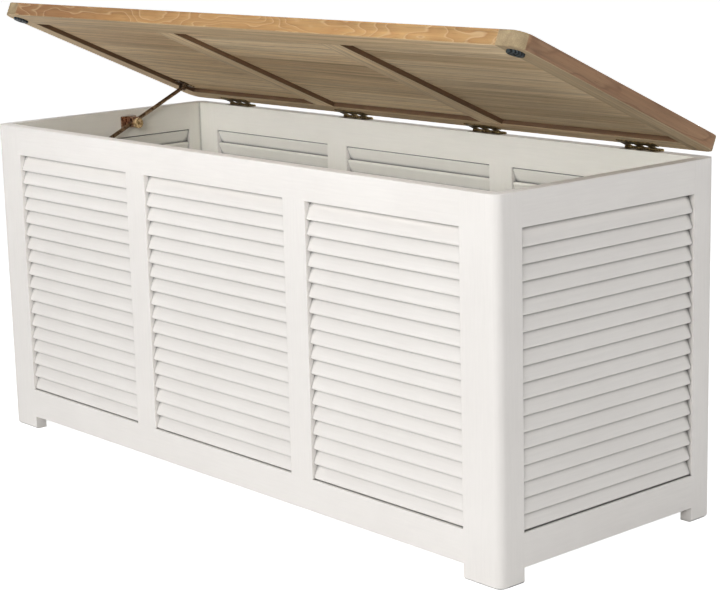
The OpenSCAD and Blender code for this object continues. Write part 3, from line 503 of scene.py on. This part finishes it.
def teak(name, pale, mid, dark, line, along_x, seed, rings, wobble, curl, rough, figure, lines,
         boarded=False, drift=0.0, sanded=None):
    """Teak with its grain along the lid's length or its depth. line is the colour of the late wood,
    boarded gives each panel board its own tone, drift makes it paler towards +X, and sanded is
    the colour of its rubbed arrises. Its pattern is laid out from the hinge line, lid closed."""
    m, new, link, bsdf = new_material(name)
    where = new("ShaderNodeTexCoord")
    closed = new("ShaderNodeMapping")
    closed.inputs["Rotation"].default_value = (opened, 0, 0)
    closed.inputs["Location"].default_value = -(Matrix.Rotation(opened, 3, "X") @ hinge_at)
    link(where.outputs["Object"], closed.inputs["Vector"])
    place = closed.outputs["Vector"]
    if not along_x:
        turn = new("ShaderNodeMapping")
        turn.inputs["Rotation"].default_value = (0, 0, math.radians(90))
        link(place, turn.inputs["Vector"])
        place = turn.outputs["Vector"]
    group = new("ShaderNodeGroup")
    group.node_tree = teak_figure
    group.inputs["Seed"].default_value = seed
    group.inputs["Rings"].default_value = rings
    group.inputs["Wobble"].default_value = wobble
    group.inputs["Curl"].default_value = curl
    link(place, group.inputs["Vector"])
    tone = group.outputs["Tone"]
    if drift:
        length = new("ShaderNodeSeparateXYZ")
        link(closed.outputs["Vector"], length.inputs["Vector"])
        paler = new("ShaderNodeMath")
        paler.operation = "MULTIPLY_ADD"
        paler.inputs[1].default_value = drift
        link(length.outputs["X"], paler.inputs[0])
        link(tone, paler.inputs[2])
        tone = paler.outputs[0]
    if boarded:
        first_number = 40
        parts = new("ShaderNodeSeparateXYZ")
        link(place, parts.inputs["Vector"])
        count = new("ShaderNodeMath")
        count.operation = "MULTIPLY_ADD"
        count.inputs[1].default_value = 1 / board_depth
        count.inputs[2].default_value = (hinge_at.y - boards_rear_y) / board_depth + first_number
        link(parts.outputs["Y"], count.inputs[0])
        which = new("ShaderNodeMath")
        which.operation = "FLOOR"
        link(count.outputs[0], which.inputs[0])
        chance = new("ShaderNodeTexWhiteNoise")
        chance.noise_dimensions = "1D"
        shift = new("ShaderNodeMath")
        shift.operation = "ADD"
        shift.inputs[1].default_value = seed * 7.0 + 0.5
        link(which.outputs[0], shift.inputs[0])
        link(shift.outputs[0], chance.inputs["W"])
        seeds = new("ShaderNodeMath")
        seeds.operation = "MULTIPLY_ADD"
        seeds.inputs[1].default_value = 9.0
        seeds.inputs[2].default_value = seed
        link(chance.outputs["Value"], seeds.inputs[0])
        link(seeds.outputs[0], group.inputs["Seed"])
        mixed = new("ShaderNodeMix")
        mixed.inputs["Factor"].default_value = 0.28
        link(group.outputs["Tone"], mixed.inputs["A"])
        link(chance.outputs["Value"], mixed.inputs["B"])
        tone = mixed.outputs["Result"]
    base = new("ShaderNodeValToRGB")
    base.color_ramp.elements[0].position = 0.30
    base.color_ramp.elements[0].color = (*dark, 1)
    base.color_ramp.elements[1].position = 0.70
    base.color_ramp.elements[1].color = (*pale, 1)
    base.color_ramp.elements.new(0.5).color = (*mid, 1)
    link(tone, base.inputs["Fac"])
    fibres = new("ShaderNodeMix")
    fibres.data_type, fibres.blend_type = "RGBA", "MULTIPLY"
    fibres.inputs["Factor"].default_value = 0.6
    soft = new("ShaderNodeMapRange")
    soft.inputs["From Min"].default_value = 0.28
    soft.inputs["From Max"].default_value = 0.72
    soft.inputs["To Min"].default_value = 0.46
    soft.inputs["To Max"].default_value = 1.34
    link(group.outputs["Streaks"], soft.inputs["Value"])
    link(base.outputs["Color"], fibres.inputs["A"])
    link(soft.outputs["Result"], fibres.inputs["B"])
    rings_mix = new("ShaderNodeMix")
    rings_mix.data_type, rings_mix.blend_type = "RGBA", "MULTIPLY"
    strength = new("ShaderNodeMath")
    strength.operation = "MULTIPLY"
    strength.inputs[1].default_value = figure
    link(group.outputs["Figure"], strength.inputs[0])
    link(strength.outputs[0], rings_mix.inputs["Factor"])
    link(fibres.outputs["Result"], rings_mix.inputs["A"])
    rings_mix.inputs["B"].default_value = (0.72, 0.58, 0.50, 1)
    late = new("ShaderNodeMix")
    late.data_type = "RGBA"
    late_weight = new("ShaderNodeMath")
    late_weight.operation = "MULTIPLY"
    late_weight.inputs[1].default_value = lines
    link(group.outputs["Lines"], late_weight.inputs[0])
    link(late_weight.outputs[0], late.inputs["Factor"])
    link(rings_mix.outputs["Result"], late.inputs["A"])
    late.inputs["B"].default_value = (*line, 1)
    pores = new("ShaderNodeMix")
    pores.data_type, pores.blend_type = "RGBA", "MULTIPLY"
    weight = new("ShaderNodeMath")
    weight.operation = "MULTIPLY"
    weight.inputs[1].default_value = 0.35
    link(group.outputs["Pores"], weight.inputs[0])
    link(weight.outputs[0], pores.inputs["Factor"])
    link(late.outputs["Result"], pores.inputs["A"])
    pores.inputs["B"].default_value = (0.35, 0.25, 0.17, 1)
    arris = new("ShaderNodeGroup")
    arris.node_tree = edge_wear_and_glint
    arris.inputs["Width"].default_value = 0.0022
    edge_share = new("ShaderNodeMath")
    edge_share.operation = "MULTIPLY"
    edge_share.inputs[1].default_value = 0.55 if sanded else 0.25
    link(arris.outputs["Edge"], edge_share.inputs[0])
    eased_edge = new("ShaderNodeMix")
    eased_edge.data_type = "RGBA"
    eased_edge.inputs["B"].default_value = (*(sanded or pale), 1)
    link(edge_share.outputs[0], eased_edge.inputs["Factor"])
    link(pores.outputs["Result"], eased_edge.inputs["A"])
    link(eased_edge.outputs["Result"], bsdf.inputs["Base Color"])
    gloss = new("ShaderNodeMapRange")
    gloss.inputs["To Min"].default_value = rough - 0.10
    gloss.inputs["To Max"].default_value = rough + 0.12
    link(group.outputs["Streaks"], gloss.inputs["Value"])
    link(gloss.outputs["Result"], bsdf.inputs["Roughness"])
    bsdf.inputs["Specular IOR Level"].default_value = 0.3
    grain = new("ShaderNodeBump")
    grain.inputs["Strength"].default_value = 0.25
    grain.inputs["Distance"].default_value = 0.0008
    link(group.outputs["Streaks"], grain.inputs["Height"])
    link(grain.outputs["Normal"], bsdf.inputs["Normal"])
    return m


def end_grain(name, pale, dark):
    """The sawn ends of teak boards: fine speckled pores over soft clouds of colour."""
    m, new, link, bsdf = new_material(name)
    where = new("ShaderNodeTexCoord")
    speck = new("ShaderNodeTexVoronoi")
    speck.inputs["Scale"].default_value = 900
    link(where.outputs["Object"], speck.inputs["Vector"])
    cloud = new("ShaderNodeTexNoise")
    cloud.inputs["Scale"].default_value = 70
    cloud.inputs["Detail"].default_value = 6
    link(where.outputs["Object"], cloud.inputs["Vector"])
    ramp = new("ShaderNodeValToRGB")
    ramp.color_ramp.elements[0].position = 0.32
    ramp.color_ramp.elements[0].color = (*dark, 1)
    ramp.color_ramp.elements[1].position = 0.68
    ramp.color_ramp.elements[1].color = (*pale, 1)
    link(cloud.outputs["Fac"], ramp.inputs["Fac"])
    dots = new("ShaderNodeMix")
    dots.data_type, dots.blend_type = "RGBA", "MULTIPLY"
    dots.inputs["Factor"].default_value = 0.35
    link(ramp.outputs["Color"], dots.inputs["A"])
    link(speck.outputs["Distance"], dots.inputs["B"])
    link(dots.outputs["Result"], bsdf.inputs["Base Color"])
    bsdf.inputs["Roughness"].default_value = 0.75
    return m


def sorted_faces(bm, along_x):
    """Material 0 on the underside, 1 on the lid's outer edges, 2 on the top, 3 on the end grain
    and 4 on the walls of the recesses, which get painted shade, going by each face's direction with the
    lid closed."""
    lies_flat = 0.7
    faces_along = 0.35
    edge_band = 0.03
    bm.transform(close_lid)
    bm.normal_update()
    for f in bm.faces:
        n, c = f.normal, f.calc_center_median()
        if n.z < -lies_flat:
            f.material_index = 0
        elif n.z > lies_flat:
            f.material_index = 2
        elif abs(n.x if along_x else n.y) > faces_along:
            f.material_index = 3
        elif abs(c.x) > lid_end_x - edge_band:
            f.material_index = 1
        elif c.y < lid_front_y + edge_band or c.y > lid_rear_y - edge_band:
            f.material_index = 1
        else:
            f.material_index = 4
    bm.transform(close_lid.inverted())
    return bm


teak_end = end_grain("teak_end_grain", (0.49, 0.375, 0.215), (0.31, 0.225, 0.125))


def lid_finishes(label, seed, along_x, boarded, underside_light):
    """The five finishes of one lid member: the underside has greyed, the long edges are fresh,
    redder across the lid's ends, and the recess walls are darkened with painted shade. The
    last argument scales the underside's brightness: painted light standing in for light bounced up onto
    it."""
    pale, mid, dark = [[underside_light * c for c in tint] for tint in (
        (0.72, 0.575, 0.380), (0.62, 0.473, 0.292), (0.50, 0.363, 0.214))]
    under = teak(
        "teak_underside_" + label, pale, mid, dark, (0.34, 0.235, 0.14), along_x, seed,
        rings=60, wobble=0.05, curl=0.02, rough=0.7, figure=0.22, lines=0.34, boarded=boarded)
    if along_x:
        edge = teak(
            "teak_edge_" + label, (0.53, 0.335, 0.145), (0.41, 0.235, 0.092), (0.27, 0.130, 0.060),
            (0.72, 0.54, 0.32), True, seed + 0.37, rings=165, wobble=0.10, curl=0.055,
            rough=0.6, figure=0.80, lines=0.46, drift=0.035, sanded=(0.72, 0.55, 0.33))
    else:
        edge = teak(
            "teak_edge_" + label, (0.47, 0.31, 0.182), (0.36, 0.215, 0.120), (0.22, 0.125, 0.068),
            (0.13, 0.07, 0.04), False, seed + 0.37, rings=230, wobble=0.045, curl=0.012,
            rough=0.6, figure=0.42, lines=0.34, sanded=(0.44, 0.32, 0.21))
    top = teak(
        "teak_top_" + label, (0.60, 0.40, 0.20), (0.50, 0.30, 0.13), (0.38, 0.21, 0.09),
        (0.30, 0.16, 0.07), along_x, seed, rings=60, wobble=0.05, curl=0.02,
        rough=0.55, figure=0.35, lines=0.35, boarded=boarded, sanded=(0.66, 0.47, 0.26))
    # The recess walls are coloured dark brown: painted shade where the frame around them keeps the light
    # off.
    shaded_wall = teak(
        "teak_shaded_recess_" + label, (0.215, 0.125, 0.068), (0.165, 0.094, 0.050), (0.12, 0.068, 0.037),
        (0.10, 0.06, 0.03), along_x, seed + 0.11, rings=60, wobble=0.03, curl=0.01,
        rough=0.7, figure=0.25, lines=0.1)
    return [under, edge, top, teak_end, shaded_wall]


# How much brighter or darker each member's underside is painted, where 1 is the plain tone: painted light
# for the uneven light bounced up under the lid, brighter to the left.
underside_lighting = {"lid_front_rail": 1.12, "lid_rear_rail": 1.05, "lid_left_stile": 1.20, "lid_right_stile": 0.74,
            "lid_left_cross_rail": 1.28, "lid_right_cross_rail": 1.20,
            "lid_left_panel": 1.38, "lid_middle_panel": 1.33, "lid_right_panel": 1.05}
for number, node in enumerate(lid_members):
    along_x = node in ("lid_front_rail", "lid_rear_rail")
    bm = sorted_faces(eased(node, 0.0012, lid_skins, panel_skins, close_lid), along_x)
    finishes = lid_finishes(node, 1.3 * number, along_x, False, underside_lighting[node])
    finished("teak_" + node, bm, finishes, "lid", [node], end_facet=arris_end)
for number, node in enumerate(lid_panels):
    bm = sorted_faces(merged_copy(node, as_drawn), True)
    finishes = lid_finishes(node, 11 + 2.1 * number, True, True, underside_lighting[node])
    finished("teak_" + node, bm, finishes, "lid", [node])

# ---- Hinges ----
# Four brass butt hinges, bronzed dark: a leaf screwed on the back rail, a leaf screwed
# under the lid, a pin through the interleaved knuckles, and flat-headed screws.

# The mottling of brass that has tarnished, with so many spots to the metre.
tarnish, new, link, given, result = socket_group(
    "tarnish", (("Spots", "Float", "INPUT"), ("Mottle", "Float", "OUTPUT")))
mottling = new("ShaderNodeTexNoise")
mottling.inputs["Detail"].default_value = 6
mottling.inputs["Distortion"].default_value = 1.2
mottling_where = new("ShaderNodeTexCoord")
link(mottling_where.outputs["Object"], mottling.inputs["Vector"])
link(given.outputs["Spots"], mottling.inputs["Scale"])
link(mottling.outputs["Fac"], result.inputs["Mottle"])


def aged_brass(name, dark, mid, bright, rough, edge_gain, spots):
    """Brass that has gone dark in a mottled way, with so many spots to the metre, and is made
    lighter along its arrises by edge_gain: rubbed wear, and on the stay's bracket a painted highlight."""
    m, new, link, bsdf = new_material(name)
    bsdf.inputs["Metallic"].default_value = 1.0
    mottled = new("ShaderNodeGroup")
    mottled.node_tree = tarnish
    mottled.inputs["Spots"].default_value = spots
    colour = new("ShaderNodeValToRGB")
    colour.color_ramp.elements[0].position = 0.36
    colour.color_ramp.elements[0].color = (*dark, 1)
    colour.color_ramp.elements[1].position = 0.72
    colour.color_ramp.elements[1].color = (*bright, 1)
    colour.color_ramp.elements.new(0.55).color = (*mid, 1)
    link(mottled.outputs["Mottle"], colour.inputs["Fac"])
    arris = new("ShaderNodeGroup")
    arris.node_tree = edge_wear_and_glint
    arris.inputs["Width"].default_value = 0.0005
    edge_share = new("ShaderNodeMath")
    edge_share.operation = "MULTIPLY"
    edge_share.inputs[1].default_value = edge_gain
    link(arris.outputs["Edge"], edge_share.inputs[0])
    # Arrises lightened towards the bright colour: rubbed wear, and a painted highlight on the bracket.
    edges_lightened = new("ShaderNodeMix")
    edges_lightened.data_type = "RGBA"
    edges_lightened.inputs["B"].default_value = (*bright, 1)
    link(edge_share.outputs[0], edges_lightened.inputs["Factor"])
    link(colour.outputs["Color"], edges_lightened.inputs["A"])
    link(edges_lightened.outputs["Result"], bsdf.inputs["Base Color"])
    satin = new("ShaderNodeMapRange")
    satin.inputs["To Min"].default_value = rough + 0.15
    satin.inputs["To Max"].default_value = rough - 0.08
    link(mottled.outputs["Mottle"], satin.inputs["Value"])
    link(satin.outputs["Result"], bsdf.inputs["Roughness"])
    dents = new("ShaderNodeBump")
    dents.inputs["Strength"].default_value = 0.2
    dents.inputs["Distance"].default_value = 0.0003
    link(mottled.outputs["Mottle"], dents.inputs["Height"])
    link(dents.outputs["Normal"], bsdf.inputs["Normal"])
    return m


hinge_brass = aged_brass(
    "hinge_brass", (0.035, 0.024, 0.012), (0.17, 0.12, 0.055), (0.52, 0.40, 0.20),
    rough=0.42, edge_gain=0.8, spots=220)
screw_brass = aged_brass(
    "screw_brass", (0.06, 0.040, 0.020), (0.20, 0.14, 0.07), (0.50, 0.37, 0.19),
    rough=0.36, edge_gain=0.8, spots=300)


def metal_piece(node, material, body):
    """Shows a metal node in its drawn shape."""
    finished("brass_" + node, merged_copy(node, as_drawn), [material], body, [node], crease=40)


for node, body in (("hinge_box_leaves", "box"), ("hinge_lid_leaves", "lid"), ("hinge_pins", "box")):
    metal_piece(node, hinge_brass, body)
for node, body in (("hinge_box_screws", "box"), ("hinge_lid_screws", "lid")):
    metal_piece(node, screw_brass, body)

# ---- Bumpers ----
# Two round rubber buffers under the lid's front corners, each ribbed across its face and
# held by one screw. The ridges are coloured a lighter teal-grey over near-black: a painted highlight of
# the light they catch, over random mottling.
rubber, new, link, rubber_bsdf = new_material("bumper_rubber")
rubber_where = new("ShaderNodeTexCoord")
rubber_noise = new("ShaderNodeTexNoise")
rubber_noise.inputs["Scale"].default_value = 420
rubber_noise.inputs["Detail"].default_value = 4
link(rubber_where.outputs["Object"], rubber_noise.inputs["Vector"])
rubber_turn = new("ShaderNodeMapping")
rubber_turn.inputs["Rotation"].default_value = (0, 0, math.radians(-62))
link(rubber_where.outputs["Object"], rubber_turn.inputs["Vector"])
ribs = new("ShaderNodeTexWave")
ribs.inputs["Scale"].default_value = 72
ribs.inputs["Distortion"].default_value = 0.6
link(rubber_turn.outputs["Vector"], ribs.inputs["Vector"])
rib_lift = new("ShaderNodeMapRange")
rib_lift.inputs["To Min"].default_value = 0.2
rib_lift.inputs["To Max"].default_value = 1.9
link(ribs.outputs["Fac"], rib_lift.inputs["Value"])
# Painted highlight: the ribs are lifted towards the lighter tint, mottled by the noise.
ribs_highlit_and_mottled = new("ShaderNodeMath")
ribs_highlit_and_mottled.operation = "MULTIPLY"
link(rubber_noise.outputs["Fac"], ribs_highlit_and_mottled.inputs[0])
link(rib_lift.outputs["Result"], ribs_highlit_and_mottled.inputs[1])
rubber_tint = new("ShaderNodeValToRGB")
rubber_tint.color_ramp.elements[0].position = 0.30
rubber_tint.color_ramp.elements[0].color = (0.004, 0.004, 0.005, 1)
rubber_tint.color_ramp.elements[1].position = 0.8
rubber_tint.color_ramp.elements[1].color = (0.052, 0.066, 0.072, 1)
link(ribs_highlit_and_mottled.outputs[0], rubber_tint.inputs["Fac"])
link(rubber_tint.outputs["Color"], rubber_bsdf.inputs["Base Color"])
rubber_rough = new("ShaderNodeMapRange")
rubber_rough.inputs["To Min"].default_value = 0.62
rubber_rough.inputs["To Max"].default_value = 0.45
link(rubber_noise.outputs["Fac"], rubber_rough.inputs["Value"])
link(rubber_rough.outputs["Result"], rubber_bsdf.inputs["Roughness"])
rubber_bsdf.inputs["Specular IOR Level"].default_value = 0.12
rubber_relief = new("ShaderNodeBump")
rubber_relief.inputs["Strength"].default_value = 0.8
rubber_relief.inputs["Distance"].default_value = 0.0006
link(ribs.outputs["Fac"], rubber_relief.inputs["Height"])
link(rubber_relief.outputs["Normal"], rubber_bsdf.inputs["Normal"])
bm = merged_copy("lid_bumpers", as_drawn)
finished("rubber_lid_bumpers", bm, [rubber], "lid", ["lid_bumpers"])
metal_piece("bumper_screws", screw_brass, "lid")

# ---- Stay ----
# A brass rod hangs from a bracket under the lid and slides through a guide on the left
# top rail, where a knurled screw clamps it.
rod_bronze = aged_brass(
    "rod_bronze", (0.09, 0.060, 0.040), (0.25, 0.175, 0.115), (0.50, 0.37, 0.25),
    rough=0.34, edge_gain=0.5, spots=110)
# The bracket's arrises are lightened to a near-white colour: a painted highlight for the glints on its
# ears.
glinting_bracket_bronze = aged_brass(
    "glinting_bracket_bronze", (0.06, 0.040, 0.030), (0.18, 0.125, 0.085), (0.85, 0.74, 0.58),
    rough=0.30, edge_gain=0.9, spots=140)
guide_bronze = aged_brass(
    "guide_bronze", (0.10, 0.050, 0.032), (0.44, 0.265, 0.175), (0.78, 0.54, 0.37),
    rough=0.36, edge_gain=0.1, spots=230)
knob_brass = aged_brass(
    "knob_brass", (0.20, 0.105, 0.040), (0.74, 0.54, 0.29), (1.0, 0.83, 0.56),
    rough=0.30, edge_gain=0.9, spots=260)
for node in ("stay_lid_bracket", "stay_bracket_screws", "stay_pivot_pin"):
    metal_piece(node, glinting_bracket_bronze, "lid")
for node in ("stay_rod", "stay_stop_nut"):
    metal_piece(node, rod_bronze, "stay_rod")
for node in ("stay_guide", "stay_guide_screws"):
    metal_piece(node, guide_bronze, "box")
metal_piece("stay_clamp_knob", knob_brass, "clamp_knob")

# ---- Floor and light ----
# A white studio sweep: the floor shows white to the camera, in metal and through gaps, and
# keeps the bench's shadow. Square soft lamps stand round it, and a strip lights the opening.
scene = bpy.context.scene
scene.view_settings.view_transform = "Standard"
bm = bmesh.new()
bmesh.ops.create_grid(bm, x_segments=1, y_segments=1, size=12)
floor_mesh = bpy.data.meshes.new("studio_floor")
bm.to_mesh(floor_mesh)
bm.free()
studio_floor = bpy.data.objects.new("studio_floor", floor_mesh)
bpy.context.collection.objects.link(studio_floor)


def looked_at(new, link):
    """1 for rays that show a thing, straight, mirrored or through glass, and 0 for its light."""
    path = new("ShaderNodeLightPath")
    straight = new("ShaderNodeMath")
    straight.operation = "MAXIMUM"
    link(path.outputs["Is Camera Ray"], straight.inputs[0])
    link(path.outputs["Is Transmission Ray"], straight.inputs[1])
    mirrored = new("ShaderNodeMath")
    mirrored.operation = "MAXIMUM"
    link(straight.outputs[0], mirrored.inputs[0])
    link(path.outputs["Is Glossy Ray"], mirrored.inputs[1])
    return mirrored.outputs[0]


white, new, link, floor_bsdf = new_material("studio_white")
floor_bsdf.inputs["Base Color"].default_value = (0.86, 0.86, 0.86, 1)
floor_bsdf.inputs["Roughness"].default_value = 0.9
floor_bsdf.inputs["Specular IOR Level"].default_value = 0.0
floor_bsdf.inputs["Emission Color"].default_value = (1, 1, 1, 1)
glow = new("ShaderNodeMath")
glow.operation = "MULTIPLY"
glow.inputs[1].default_value = 0.99
link(looked_at(new, link), glow.inputs[0])
link(glow.outputs[0], floor_bsdf.inputs["Emission Strength"])
floor_mesh.materials.append(white)

world = bpy.data.worlds.new("studio")
scene.world = world
world.use_nodes = True
new, link = world.node_tree.nodes.new, world.node_tree.links.new
surround = world.node_tree.nodes["Background"]
surround.inputs["Color"].default_value = (1, 1, 1, 1)
surround.inputs["Strength"].default_value = 0.03
seen = new("ShaderNodeBackground")
seen.inputs["Color"].default_value = (1, 1, 1, 1)
seen.inputs["Strength"].default_value = 1.0
choose = new("ShaderNodeMixShader")
link(looked_at(new, link), choose.inputs["Fac"])
link(surround.outputs["Background"], choose.inputs[1])
link(seen.outputs["Background"], choose.inputs[2])
link(choose.outputs["Shader"], world.node_tree.nodes["World Output"].inputs["Surface"])


def softbox(name, at, aim, size, watts):
    """A square studio lamp turned towards a point."""
    lamp = bpy.data.lights.new(name, "AREA")
    lamp.shape, lamp.size, lamp.energy = "SQUARE", size, watts
    stand = bpy.data.objects.new(name, lamp)
    bpy.context.collection.objects.link(stand)
    stand.location = at
    stand.rotation_euler = (Vector(aim) - Vector(at)).to_track_quat("-Z", "Y").to_euler()
    return lamp


softbox("key_light", (-0.35, -4.1, 1.75), (-0.1, 0, 0.45), 1.6, 63)
softbox("right_light", (2.4, -3.4, 1.95), (0, 0, 0.5), 1.4, 49)
softbox("cross_light", (3.4, -2.3, 1.35), (-0.3, 0.1, 0.5), 1.2, 14)
softbox("top_light", (0.1, -0.45, 3.0), (0, -0.45, 0.5), 2.0, 38)
softbox("side_fill", (2.4, 1.35, 1.1), (0.6, 0, 0.3), 1.2, 13)
strip = softbox("opening_light", (0.85, -2.1, 1.02), (-0.15, 0.1, 0.57), 1.2, 0.18)
strip.shape, strip.size_y, strip.spread = "RECTANGLE", 0.12, math.radians(16)
